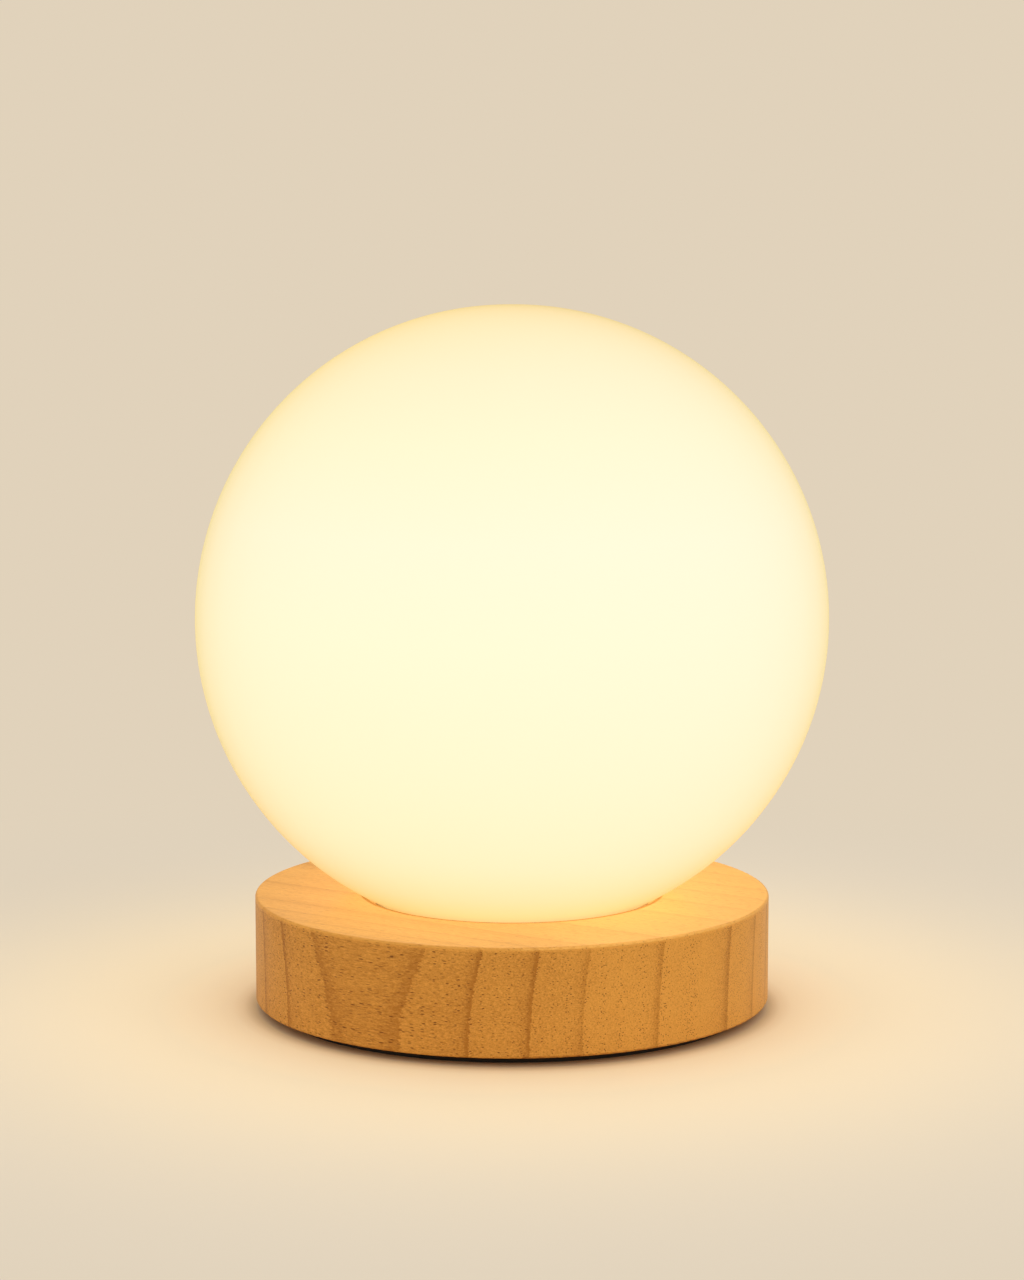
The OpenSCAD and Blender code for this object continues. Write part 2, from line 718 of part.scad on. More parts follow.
// Base of the bulb: a flat block for the slot, a round collar and a spigot
module bulb_base() color("White") difference() {
    union() {
        translate([0, 0, block_low]) linear_extrude(bulb_block_h + past)
            slab(bulb_block_l, bulb_block_w, bulb_block_round);
        translate([0, 0, holder_top]) cylinder(d = bulb_d, h = bulb_collar_h);
        translate([0, 0, collar_top - past]) cylinder(r = spigot_r, h = bulb_spigot_h + past);
    }
    for (side = [-1, 1], leg = [-1, 1])
        translate([side * pin_pitch / 2 + leg * pin_loop / 2, 0, block_low - past])
            cylinder(d = pin_d + 2 * thread_gap, h = pin_root + past);
}

// Two pins, each a loop of stiff wire with both legs let into the block
module bulb_pins() color("Silver") for (side = [-1, 1])
    translate([side * pin_pitch / 2, 0, block_low - pin_l + pin_loop / 2 + pin_d / 2]) {
        for (leg = [-1, 1])
            translate([leg * pin_loop / 2, 0, 0])
                cylinder(d = pin_d, h = pin_l - pin_loop / 2 - pin_d / 2 + pin_root - thread_gap);
        rotate([-90, 0, 0]) rotate_extrude(angle = 180)
            translate([pin_loop / 2, 0]) circle(d = pin_d);
    }

// Upright board with light chips on both faces
module bulb_board() color("Khaki") translate([0, 0, spigot_top]) {
    translate([-board_w / 2, -board_t / 2, 0]) cube([board_w, board_t, board_h]);
    for (n = [0 : chip_n - 1])
        translate([0, 0, (n + 0.5) * board_h / chip_n])
            cube([chip_s, board_t + 2 * chip_t, chip_s], center = true);
}

// Frosted cover, a tube with a round end, glued over the spigot
module bulb_envelope() color("Ivory") rotate_extrude() difference() {
    union() {
        translate([0, collar_top]) square([bulb_r, bulb_top - bulb_r - collar_top]);
        intersection() {
            translate([0, bulb_top - bulb_r]) circle(bulb_r);
            translate([0, collar_top]) square([bulb_r, bulb_h]);
        }
    }
    translate([0, collar_top - past])
        square([bulb_r - envelope_t, bulb_top - bulb_r - collar_top + past]);
    translate([0, bulb_top - bulb_r]) circle(bulb_r - envelope_t);
}

// One sleeved wire: ceramic body, stem, elbow under the stem, terminal block
module lead() {
    sleeve_top = pocket_z - barrel_l - thread_gap;
    low_shift = [lead_x_low - lead_x, 0, tube_z - lead_low];
    low_run = block_front - lead_bend - slip;
    low_end = [lead_x_low, block_front - slip, tube_z];
    wire(
        concat(
            [[[lead_x_up, 0, sleeve_top], [0, 0, -1]]],
            double_bend_route([lead_x_up, 0, holder_z], [0, 0, -1], [-1, 0, 0],
                lead_x_up - lead_x, holder_z - stem_top),
            bend_route([lead_x, 0, elbow_z], [0, 0, -1], [0, 1, 0], lead_bend, 90),
            [for (k = [1 : 2 * bend_steps])
                double_bend_route([lead_x, lead_bend, lead_low], [0, 1, 0],
                    low_shift / norm(low_shift), norm(low_shift), low_run)[k]]
        ),
        lead_d / 2
    );
    translate([lead_x_up, 0, sleeve_top - past])
        cylinder(d = core_d, h = pocket_z - sleeve_top - thread_gap + past);
    translate(low_end - [0, past, 0]) rotate([-90, 0, 0])
        cylinder(d = core_d, h = past + slip + strip_l);
}

// Wire on the right
module lead_live() color("SaddleBrown") lead();

// Wire on the left
module lead_neutral() color("SteelBlue") mirror([1, 0, 0]) lead();

// Places its children at the middle of each way of the terminal block
module at_ways() {
    for (side = [-1, 1])
        translate([side * lead_x_low, block_off, tube_z]) children();
}

// Places its children under each clamping screw
module at_clamps() {
    at_ways() for (end = [-1, 1]) translate([0, end * clamp_off, 0]) children();
}

// Nylon body screwed up against the wood, with a turret under each clamping screw
module terminal_block() color("WhiteSmoke") difference() {
    union() {
        at_ways() rotate([90, 0, 0]) linear_extrude(block_l, center = true)
            slab(way_w, way_h, way_round);
        at_clamps() translate([0, 0, -way_h / 2 - turret_h])
            cylinder(d = clamp_d + 2 * turret_wall, h = turret_h + way_h / 2);
        translate([-lead_x_low, block_front + web_inset, ceiling_z - block_web_t])
            cube([block_pitch, block_l - 2 * web_inset, block_web_t]);
    }
    at_ways() rotate([90, 0, 0])
        cylinder(d = tube_d + 2 * thread_gap, h = block_l + 2 * past, center = true);
    at_clamps() translate([0, 0, -way_h / 2 - turret_h - past])
        cylinder(d = clamp_d + 2 * thread_gap, h = turret_h + way_h / 2 + past);
    translate([0, block_off, turret_low])
        cylinder(d = block_screw_d + 2 * thread_gap, h = ceiling_z - turret_low + past);
    translate([0, block_off, turret_low])
        cylinder(d = block_head_d + 2 * slip, h = ceiling_z - block_web_t - turret_low);
}

// Brass tubes inside the terminal block, tapped for the clamping screws
module terminal_tubes() color("Goldenrod") difference() {
    at_ways() rotate([90, 0, 0]) difference() {
        cylinder(d = tube_d, h = tube_l, center = true);
        cylinder(d = tube_bore, h = tube_l + 2 * past, center = true);
    }
    at_clamps() translate([0, 0, -tube_d]) cylinder(d = clamp_d + 2 * thread_gap, h = tube_d);
}

// Slotted screws that clamp the bare wires
module terminal_screws() color("Silver") difference() {
    at_clamps() translate([0, 0, screw_low])
        cylinder(d = clamp_d, h = clamp_top - tube_z - screw_low);
    at_clamps() translate([-clamp_d, -slot_w / 2, screw_low - past])
        cube([2 * clamp_d, slot_w, slot_depth + past]);
}

// Wood screw that holds the terminal block
module block_screw() color("Silver") translate([0, block_off, ceiling_z - block_web_t]) {
    difference() {
        translate([0, 0, -block_head_h]) cylinder(d = block_head_d, h = block_head_h);
        translate([0, 0, -block_head_h]) cross_recess(block_screw_d);
    }
    cylinder(d = block_screw_d, h = block_screw_l - point_l);
    translate([0, 0, block_screw_l - point_l])
        cylinder(d1 = block_screw_d, d2 = point_d, h = point_l);
}

// Rubber grommet that lines the cord hole
module cord_grommet() color("DimGray") translate([0, flange_y, cord_z]) rotate([-90, 0, 0])
    difference() {
        union() {
            translate([0, 0, -grommet_l]) cylinder(d = grommet_d, h = grommet_l);
            rotate_extrude() {
                square([flange_d / 2, flange_t - flange_round]);
                square([flange_d / 2 - flange_round, flange_t]);
                translate([flange_d / 2 - flange_round, flange_t - flange_round])
                    circle(flange_round);
            }
        }
        translate([0, 0, -grommet_l - past])
            cylinder(d = grommet_bore, h = grommet_l + flange_t + 2 * past);
    }

// Steel cover let in flush with the underside of the wood
module bottom_cover() color("DarkGray") difference() {
    translate([0, 0, wood_z]) cylinder(r = ledge_r - slip, h = cover_t);
    at_cover_screws() wood_screw_hole(cover_screw_d, cover_t + past);
}

// Countersunk wood screws of the bottom cover
module cover_screws() color("Silver")
    at_cover_screws() wood_screw(cover_screw_d, cover_screw_l);

wood_base();
globe_shade();
foot_ring();
shade_gasket();
shade_dish();
shade_springs();
spring_rivets();
stem_tube();
stem_nuts();
lock_washer();
flat_washer();
holder_bracket();
holder_screws();
holder_nuts();
lampholder();
lamp_contacts();
bulb_base();
bulb_pins();
bulb_board();
bulb_envelope();
lead_live();
lead_neutral();
terminal_block();
terminal_tubes();
terminal_screws();
block_screw();
cord_grommet();
bottom_cover();
cover_screws();
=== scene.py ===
from math import radians

import bpy
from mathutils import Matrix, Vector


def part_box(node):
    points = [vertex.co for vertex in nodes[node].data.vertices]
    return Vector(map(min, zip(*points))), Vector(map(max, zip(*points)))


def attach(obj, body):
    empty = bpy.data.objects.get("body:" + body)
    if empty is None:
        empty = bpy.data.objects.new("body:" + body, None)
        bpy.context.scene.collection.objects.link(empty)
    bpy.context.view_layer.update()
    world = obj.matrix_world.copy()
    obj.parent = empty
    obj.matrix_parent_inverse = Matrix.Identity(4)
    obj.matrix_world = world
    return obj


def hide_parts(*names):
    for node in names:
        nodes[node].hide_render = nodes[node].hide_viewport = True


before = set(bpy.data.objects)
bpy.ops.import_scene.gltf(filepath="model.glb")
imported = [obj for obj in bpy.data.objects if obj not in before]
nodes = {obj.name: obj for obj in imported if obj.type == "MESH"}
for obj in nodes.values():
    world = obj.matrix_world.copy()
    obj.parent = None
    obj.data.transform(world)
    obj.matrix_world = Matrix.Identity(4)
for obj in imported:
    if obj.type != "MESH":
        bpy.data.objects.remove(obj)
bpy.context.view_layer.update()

MM = 0.001


# The camera stands where the photograph was taken from: a little above the lamp, 0.8 m in front of
# it, with a long lens, so that the wood's top shows as a narrow ellipse.
WOOD_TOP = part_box("wood_base")[1][2]
CAMERA_PLACE = (0, -0.8103, WOOD_TOP + 0.1738)
CAMERA_AIM = (0, 0, WOOD_TOP + 0.06063)
LENS = 96.8

bpy.ops.object.select_all(action="DESELECT")
bpy.ops.object.empty_add(location=CAMERA_AIM)
aim = bpy.context.object
bpy.ops.object.camera_add(location=CAMERA_PLACE)
camera = bpy.context.object
camera.data.lens = LENS
camera.data.clip_start = 0.01
follow = camera.constraints.new("TRACK_TO")
follow.target = aim
bpy.context.view_layer.update()
camera.matrix_world = camera.matrix_world.copy()
camera.constraints.remove(follow)
bpy.data.objects.remove(aim)
bpy.context.scene.camera = camera


# The wood base is one round block of rubberwood, turned on a lathe and finished with satin lacquer.
# Its fibres run across the lamp, towards the right and the front, so that the growth rings cross
# the side as upright lines, and the pores are dashes on the left and dots on the right.
class Signal:
    """An output of a shader node. Sums, products and the like of signals add Math nodes."""

    def __init__(self, socket):
        self.socket = socket

    def node(self, kind, settings, inputs, output=0):
        """Adds a node, with its settings, then its inputs as values or signals."""
        tree = self.socket.id_data
        made = tree.nodes.new("ShaderNode" + kind)
        for name, value in settings.items():
            if name == "stops":
                ramp = made.color_ramp
                while len(ramp.elements) < len(value):
                    ramp.elements.new(1)
                for element, (position, color) in zip(ramp.elements, value):
                    element.position = position
                    element.color = (*color, 1)
            else:
                setattr(made, name, value)
        for name, value in inputs.items():
            if isinstance(value, Signal):
                tree.links.new(value.socket, made.inputs[name])
            else:
                made.inputs[name].default_value = value
        return Signal(made.outputs[output])

    def math(self, operation, *numbers):
        return self.node("Math", {"operation": operation}, dict(enumerate(numbers)))

    def __add__(self, other):
        return self.math("ADD", self, other)

    def __sub__(self, other):
        return self.math("SUBTRACT", self, other)

    def __rsub__(self, other):
        return self.math("SUBTRACT", other, self)

    def __mul__(self, other):
        return self.math("MULTIPLY", self, other)

    def __truediv__(self, other):
        return self.math("DIVIDE", self, other)

    def __pow__(self, other):
        return self.math("POWER", self, other)

    __radd__, __rmul__ = __add__, __mul__

    def step(self, low, high):
        """0 where this is below low, 1 above high, smooth between them."""
        return self.node(
            "MapRange",
            {"interpolation_type": "SMOOTHSTEP"},
            {"Value": self, "From Min": low, "From Max": high},
        )

    def mix(self, first, second):
        """The first colour where this is 0, the second where it is 1."""
        pair = [(*color, 1) if isinstance(color, tuple) else color for color in (first, second)]
        return self.node("Mix", {"data_type": "RGBA"}, {0: self, 6: pair[0], 7: pair[1]}, output=2)

    def ramp(self, stops):
        """The colour that this number picks from the stops, each a position and a colour."""
        return self.node("ValToRGB", {"stops": stops}, {0: self})

    def part(self, number):
        """One of the three numbers of these points."""
        return self.node("SeparateXYZ", {}, {0: self}, output=number)

    def placed(self, scale=(1, 1, 1), turn=(0, 0, 0)):
        """These points turned, then stretched."""
        return self.node("Mapping", {}, {"Vector": self, "Rotation": turn, "Scale": scale})

    def noise(self, scale, detail=2):
        """Smooth noise from 0 to 1 at the points that this gives."""
        return self.node("TexNoise", {}, {"Vector": self, "Scale": scale, "Detail": detail})

    def joined(self, second, third=0.0):
        """Points made of this number and two more."""
        return self.node("CombineXYZ", {}, {0: self, 1: second, 2: third})

    def relief(self, depth):
        """A normal from this height of 0 to 1, which stands for that many millimetres."""
        return self.node("Bump", {}, {"Strength": 1, "Distance": depth * MM, "Height": self})


def new_finish(name, **settings):
    """A material whose shader has these settings, with the object's points in millimetres."""
    material = bpy.data.materials.new(name)
    material.use_nodes = True
    shader = material.node_tree.nodes["Principled BSDF"]
    for socket, value in settings.items():
        shader.inputs[socket.replace("_", " ")].default_value = value
    points = Signal(material.node_tree.nodes.new("ShaderNodeTexCoord").outputs["Object"])
    return material, points.node("VectorMath", {"operation": "SCALE"}, {0: points, "Scale": 1 / MM})


def feed(material, **inputs):
    """Wires signals to the shader of a material."""
    tree = material.node_tree
    for socket, signal in inputs.items():
        shader_socket = tree.nodes["Principled BSDF"].inputs[socket.replace("_", " ")]
        tree.links.new(signal.socket, shader_socket)


def dress(material, *names):
    """Puts a material on CAD nodes."""
    for name in names:
        mesh = nodes[name].data
        mesh.materials.clear()
        mesh.materials.append(material)


FIBRE_TURN = 33.3
PITH = (200, 0)
RINGS = (-71, -67, -60.7, -56.1, -49.1, -41.1, -25.1, -3, 10, 22, 31, 42, 50, 61)
RING_LOW, RING_SPAN = -80, 160
PALE_WOOD = (0.75, 0.355, 0.064)
DARK_WOOD = (0.4, 0.152, 0.018)
PORE_WOOD = (0.14, 0.037, 0.004)
PORE_ROOM = (2.6, 0.5, 0.5)

wood, points = new_finish(
    "rubberwood_lacquered", Specular_IOR_Level=0.1, Coat_Weight=0.22, Coat_Roughness=0.2
)
grain = points.placed(turn=(0, 0, radians(FIBRE_TURN)))
across, up = grain.part(1), grain.part(2)
fibres = grain.placed(scale=(0.1, 1, 1))
dashes = grain.placed(scale=(0.3, 1, 1))
wander = (dashes.noise(0.05) - 0.5) * 0.6 + (dashes.noise(2.2, 2) - 0.5) * 0.75
reach = PITH[0] - across - wander
place = PITH[0] - (reach * reach + (up - PITH[1]) * (up - PITH[1])) ** 0.5
ring_stops = [
    ((ring - RING_LOW) / RING_SPAN, (count / len(RINGS),) * 3) for count, ring in enumerate(RINGS)
]
years = ((place - RING_LOW) / RING_SPAN).ramp(ring_stops) * len(RINGS)
age = years.math("FRACT", years)
year = years.node("TexWhiteNoise", {"noise_dimensions": "1D"}, {"W": years.math("FLOOR", years)})
late = age ** 6 * (0.6 + 0.4 * year)
line = age.step(0.87, 0.975) * (1 - age.step(0.98, 1.0)) * (0.5 + 0.5 * year)
streaks = fibres.noise(2.8, 3)
ripple = dashes.noise(2.6, 3)
specks = dashes.noise(6)
patches = fibres.noise(0.16)
# The wood is painted paler towards the right, painted light from the lamp on that side.
painted_light_right = (points.part(0) * 0.01).step(-0.02, 0.32)
depth = WOOD_TOP / MM - up
calm = 0.4 + 0.6 * depth.step(0.2, 1.2)
# A thin band just below the top edge is painted paler, a painted highlight on the rounded edge.
painted_edge_highlight = depth.step(0.1, 0.4) * (1 - depth.step(0.7, 1.2))
tone = 0.42 * late + 0.24 * line + 0.8 * (streaks - 0.5)
tone = tone + 0.9 * (ripple - 0.5) + 0.9 * (specks - 0.5)
tone = (0.49 + tone * calm + 0.3 * (patches - 0.5) - 0.32 * painted_light_right - 0.3 * painted_edge_highlight).step(-0.1, 1.2)
cells = grain.placed(scale=tuple(1 / side for side in PORE_ROOM))
scatter = {"Vector": cells, "Scale": 1.0, "Randomness": 0.95}
near = cells.node("TexVoronoi", {}, scatter)
luck = cells.node("TexVoronoi", {}, scatter, output=1).part(0)
pore = (1 - near.step(0.17, 0.35)) * (luck * luck * 0.75 + 0.2) * calm
plain = tone.mix(PALE_WOOD, DARK_WOOD)
feed(
    wood,
    Base_Color=pore.mix(plain, PORE_WOOD),
    Roughness=0.5 + 0.15 * streaks,
    Normal=(streaks * 0.25 - pore).relief(0.05),
)
dress(wood, "wood_base")


# The globe is blown opal glass, lit from inside. It stands in the seat on a silicone ring.
# The glow is set by height. At the bottom it is painted deep orange, a painted reflection of the
# wood below.
GLOW_AND_WOOD_REFLECTION = [
    (0.0, (0.98, 0.74, 0.28)), (0.06, (0.95, 0.74, 0.4)), (0.13, (0.91, 0.74, 0.45)),
    (0.3, (0.87, 0.75, 0.48)), (0.5, (0.86, 0.76, 0.505)), (0.65, (0.86, 0.74, 0.51)),
    (0.8, (0.85, 0.71, 0.44)), (0.9, (0.85, 0.66, 0.39)), (1.0, (0.85, 0.61, 0.31)),
]
# Towards the right the glass is painted whiter, painted light from the lamp on that side.
GLASS_PAINTED_LIGHT = (0.85, 0.735, 0.6)
GLOBE_R = 75
opal, points = new_finish(
    "opal_glass_lit", Base_Color=(0.3, 0.29, 0.26, 1), Roughness=0.4, Specular_IOR_Level=0,
    Coat_Weight=0.2, Coat_Roughness=0.3, Sheen_Weight=1, Sheen_Roughness=0.42,
    Sheen_Tint=(1, 0.82, 0.25, 1), Emission_Strength=1,
)
globe_low, globe_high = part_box("globe_shade")
height = (points.part(2) * MM - globe_low[2]) / (globe_high[2] - globe_low[2])
glass_painted_light_mask = (points.part(0) / GLOBE_R).step(-0.6, 1.4) * 0.35
feed(opal, Emission_Color=glass_painted_light_mask.mix(height.ramp(GLOW_AND_WOOD_REFLECTION), GLASS_PAINTED_LIGHT))
dress(opal, "globe_shade")


# The black ring under the wood keeps the lamp from slipping.
rubber, points = new_finish("black_rubber", Base_Color=(0.012, 0.011, 0.01, 1))
feed(rubber, Roughness=0.65 + 0.25 * points.noise(0.8), Normal=points.noise(3, 3).relief(0.03))
dress(rubber, "foot_ring", "cord_grommet")


# The glass stands on a ring of translucent silicone.
silicone, points = new_finish("clear_silicone")
haze = points.noise(0.3, 3)
feed(
    silicone,
    Base_Color=haze.mix((0.62, 0.6, 0.55), (0.74, 0.72, 0.68)),
    Roughness=0.35 + 0.2 * haze,
)
dress(silicone, "shade_gasket")


# The dish in the mouth of the glass is pressed from sheet steel and lacquered white. The lacquer
# has the fine orange peel of a sprayed coat.
lacquer, points = new_finish("white_lacquer", Coat_Weight=0.5, Coat_Roughness=0.12)
peel = points.noise(0.9, 3)
feed(
    lacquer,
    Base_Color=points.noise(0.12).mix((0.78, 0.77, 0.73), (0.84, 0.83, 0.8)),
    Roughness=0.3 + 0.12 * peel,
    Normal=peel.relief(0.04),
)
dress(lacquer, "shade_dish")


# Three arms of blued spring steel hold the glass from inside. The strip is rolled along its length,
# so its fine lines run out from the middle of the lamp.
SPRING_REACH = 25
strip, points = new_finish("spring_steel", Metallic=1.0)
side = points.part(1).math("ARCTAN2", points.part(1), points.part(0)) * SPRING_REACH
rolled = side.joined(points.part(2) * 0.1).noise(3, 3)
feed(
    strip,
    Base_Color=rolled.mix((0.33, 0.34, 0.36), (0.52, 0.52, 0.52)),
    Roughness=0.22 + 0.22 * rolled,
    Normal=rolled.relief(0.01),
)
dress(strip, "shade_springs")


# The stem, its nuts and washers, the bracket and most screws are steel with bright zinc, slightly
# blue and yellow where the passivation varies, and finely scratched.
zinc, points = new_finish("zinc_plated_steel", Metallic=1.0)
cloud = points.noise(0.25, 3)
scratch = points.placed(scale=(3, 0.25, 0.25)).noise(4, 2)
feed(
    zinc,
    Base_Color=cloud.mix((0.56, 0.57, 0.6), (0.68, 0.66, 0.6)),
    Roughness=0.2 + 0.15 * cloud + 0.2 * scratch,
    Normal=scratch.relief(0.012),
)
dress(
    zinc, "spring_rivets", "stem_nuts", "lock_washer", "flat_washer", "holder_bracket",
    "holder_nuts", "terminal_screws",
)


# The stem and the screws have their threads, cut as rings at the thread's pitch: M10 x 1 on the
# stem, M3 on the bracket's screws, and a coarse wood thread that runs out into a point on the rest.
def turned(outline, sides=48):
    """A piece turned around the Z axis, from a closed outline of radii and heights in mm."""
    bpy.ops.object.select_all(action="DESELECT")
    bands = []
    for first, second in zip(outline, outline[1:] + outline[:1]):
        low, high = sorted((first, second), key=lambda point: point[1])
        if low[0] or high[0]:
            bpy.ops.mesh.primitive_cone_add(
                vertices=sides, radius1=low[0] * MM, radius2=high[0] * MM,
                depth=(high[1] - low[1]) * MM, end_fill_type="NOTHING",
                location=(0, 0, (low[1] + high[1]) / 2 * MM),
            )
            bands.append(bpy.context.object)
    for band in bands:
        band.select_set(True)
    bpy.ops.object.join()
    bpy.ops.object.transform_apply()
    piece = bpy.context.object
    bpy.ops.object.mode_set(mode="EDIT")
    bpy.ops.mesh.select_all(action="SELECT")
    bpy.ops.mesh.remove_doubles(threshold=1e-6)
    bpy.ops.mesh.normals_make_consistent(inside=False)
    bpy.ops.object.mode_set(mode="OBJECT")
    return piece


def ridges(root, crest, low, high, pitch):
    """The outline of a thread between two heights."""
    count = round((high - low) / pitch)
    rise = (high - low) / count
    outline = [(root, low)]
    for turn in range(count):
        outline += [(crest, low + (turn + 0.5) * rise), (root, low + (turn + 1) * rise)]
    return outline


def cross_cut(piece, wide, deep):
    """Cuts a cross recess into the face of a screw that looks down on the origin."""
    for sides in ((wide, wide / 4), (wide / 4, wide)):
        bpy.ops.mesh.primitive_cube_add(size=1, scale=(sides[0] * MM, sides[1] * MM, 2 * deep * MM))
        tool = bpy.context.object
        cut = piece.modifiers.new("recess", "BOOLEAN")
        cut.object = tool
        bpy.context.view_layer.objects.active = piece
        bpy.ops.object.modifier_apply(modifier=cut.name)
        bpy.data.objects.remove(tool)


def fit(piece, name, places, turn=(0, 0, 0)):
    """Puts copies of a piece at these places, in place of a CAD node."""
    copies = []
    for place in places:
        bpy.ops.object.select_all(action="DESELECT")
        piece.select_set(True)
        bpy.context.view_layer.objects.active = piece
        bpy.ops.object.duplicate()
        copy = bpy.context.object
        copy.location = place
        copy.rotation_euler = turn
        copies.append(copy)
    bpy.data.objects.remove(piece)
    for copy in copies:
        copy.select_set(True)
    bpy.ops.object.join()
    whole = bpy.context.object
    bpy.ops.object.transform_apply()
    bpy.ops.object.shade_smooth_by_angle(angle=radians(30))
    whole.name = name + "_turned"
    whole.data.materials.append(zinc)
    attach(whole, "lamp_base")
    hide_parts(name)


STEM_BORE_R, STEM_END_R, STEM_ROOT_R, STEM_R = 3.75, 4.5, 4.4, 5
STEM_CHAMFER = 0.2
stem_low, stem_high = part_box("stem_tube")
stem_long = (stem_high[2] - stem_low[2]) / MM
stem = turned(
    [(STEM_BORE_R, 0), (STEM_END_R, 0)]
    + ridges(STEM_ROOT_R, STEM_R, STEM_CHAMFER, stem_long - STEM_CHAMFER, pitch=1)
    + [(STEM_END_R, stem_long), (STEM_BORE_R, stem_long)]
)
fit(stem, "stem_tube", [(0, 0, stem_low[2])])

pan_low, pan_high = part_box("holder_screws")
PAN_R = 2.8
pan_long = (pan_high[1] - pan_low[1]) / MM
pan_screw = turned(
    [(0, 0), (1.3, 0), (2.2, 0.16), (2.66, 0.6), (PAN_R, 1.2), (PAN_R, 1.8), (1.5, 1.8), (1.5, 2.2)]
    + ridges(1.2, 1.5, 2.2, pan_long - 0.2, 0.5) + [(1.1, pan_long), (0, pan_long)], 32
)
cross_cut(pan_screw, 3.3, 1.2)
pan_x, pan_z = pan_high[0] - PAN_R * MM, (pan_low[2] + pan_high[2]) / 2
pan_places = [(side * pan_x, pan_low[1], pan_z) for side in (-1, 1)]
fit(pan_screw, "holder_screws", pan_places, turn=(radians(-90), 0, 0))

csk_low, csk_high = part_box("cover_screws")
CSK_R = 3
wood_screw = turned(
    [(0, 0), (CSK_R, 0), (CSK_R, 0.21), (1.5, 1.71), (1.4, 3)] + ridges(1, 1.5, 3, 9, 1.2)
    + [(1.25, 9.6), (0.75, 10.2), (0.85, 10.8), (0.4, 11.3), (0, 12)], 32
)
cross_cut(wood_screw, 3.3, 1.2)
csk_x = csk_high[0] - CSK_R * MM
csk_places = [(x * csk_x, y * csk_x, csk_low[2]) for x in (-1, 1) for y in (-1, 1)]
fit(wood_screw, "cover_screws", csk_places)

block_low, block_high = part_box("block_screw")
block_screw = turned(
    [(0, 0), (1.1, 0), (1.85, 0.14), (2.2, 0.5), (2.33, 1), (2.33, 1.5), (1.15, 1.5), (1.15, 2)]
    + ridges(0.85, 1.25, 2, 7.4, 0.9) + [(1.05, 7.9), (0.65, 8.4), (0.6, 8.8), (0, 9.5)], 32
)
cross_cut(block_screw, 2.75, 1)
fit(block_screw, "block_screw", [(0, (block_low[1] + block_high[1]) / 2, block_low[2])])


# The lampholder is pressed from white steatite and fired without a glaze, so it is matt, with small
# grey specks.
ceramic, points = new_finish("white_steatite")
speck = points.noise(2.2, 4).step(0.66, 0.74)
body = points.noise(0.2, 3)
feed(
    ceramic,
    Base_Color=(speck * 0.5).mix(
        body.mix((0.76, 0.74, 0.69), (0.83, 0.82, 0.78)), (0.5, 0.47, 0.42)
    ),
    Roughness=0.5 + 0.2 * body,
    Normal=points.noise(1.6, 3).relief(0.03),
)
dress(ceramic, "lampholder")


# The contacts in the lampholder and the tubes in the terminal block are brass, bright where it was
# cut and a little brown elsewhere.
brass, points = new_finish("bright_brass", Metallic=1.0)
tarnish = points.noise(0.6, 4)
feed(
    brass,
    Base_Color=tarnish.step(0.35, 0.75).mix((0.83, 0.6, 0.27), (0.6, 0.4, 0.16)),
    Roughness=0.18 + 0.25 * tarnish,
    Normal=points.placed(scale=(0.2, 3, 3)).noise(2).relief(0.01),
)
dress(brass, "lamp_contacts", "terminal_tubes")


# The bulb has a white base block with two pins of nickelled wire.
block, points = new_finish("white_bulb_base")
grime = points.noise(0.5, 3)
feed(
    block,
    Base_Color=grime.mix((0.8, 0.79, 0.75), (0.86, 0.85, 0.82)),
    Roughness=0.35 + 0.15 * grime,
    Normal=points.noise(3, 2).relief(0.008),
)
dress(block, "bulb_base")
nickel, points = new_finish("nickelled_wire", Metallic=1.0)
drawn = points.placed(scale=(4, 4, 0.2)).noise(2)
feed(
    nickel,
    Base_Color=drawn.mix((0.62, 0.6, 0.56), (0.75, 0.73, 0.7)),
    Roughness=0.15 + 0.2 * drawn,
    Normal=drawn.relief(0.006),
)
dress(nickel, "bulb_pins")


# Its light comes from yellow chips in rows on both faces of a white board.
CHIP_PITCH = 4.2
CHIP_WIDE, CHIP_HIGH = 2.6, 2.9
CHIP_EDGE = 0.03
KEEP_POSITIVE = 1000
board_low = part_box("bulb_board")[0]
board, points = new_finish("board_with_chips", Emission_Strength=1)


def row(place, pitch, wide):
    """1 on a chip of this width at the middle of each pitch, 0 in the gaps."""
    turn = place.math("FRACT", place / pitch + KEEP_POSITIVE) - 0.5
    return 1 - turn.math("ABSOLUTE", turn).step(wide / pitch / 2, wide / pitch / 2 + CHIP_EDGE)


chip = row(points.part(0) + CHIP_PITCH, CHIP_PITCH, CHIP_WIDE)
chip = chip * row(points.part(2) - board_low[2] / MM, CHIP_PITCH, CHIP_HIGH)
# Between the chips the white board is given a dim warm glow, painted light from the chips.
feed(
    board,
    Base_Color=chip.mix((0.8, 0.79, 0.74), (0.85, 0.62, 0.12)),
    Roughness=0.3 + 0.2 * points.noise(1.5),
    Emission_Color=chip.mix((0.3, 0.26, 0.18), (1.3, 0.95, 0.5)),
)
dress(board, "bulb_board")


# The frosted cover of the bulb glows where the chips are behind it.
LIT_COVER = [
    (0.0, (0.5, 0.38, 0.2)), (0.25, (0.8, 0.68, 0.42)),
    (0.6, (0.85, 0.75, 0.5)), (1.0, (0.7, 0.58, 0.35)),
]
cover_low, cover_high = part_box("bulb_envelope")
frosted, points = new_finish(
    "frosted_cover", Base_Color=(0.3, 0.29, 0.27, 1), Roughness=0.5, Coat_Weight=0.3,
    Coat_Roughness=0.25, Emission_Strength=1,
)
height = (points.part(2) * MM - cover_low[2]) / (cover_high[2] - cover_low[2])
feed(frosted, Emission_Color=height.ramp(LIT_COVER))
dress(frosted, "bulb_envelope")


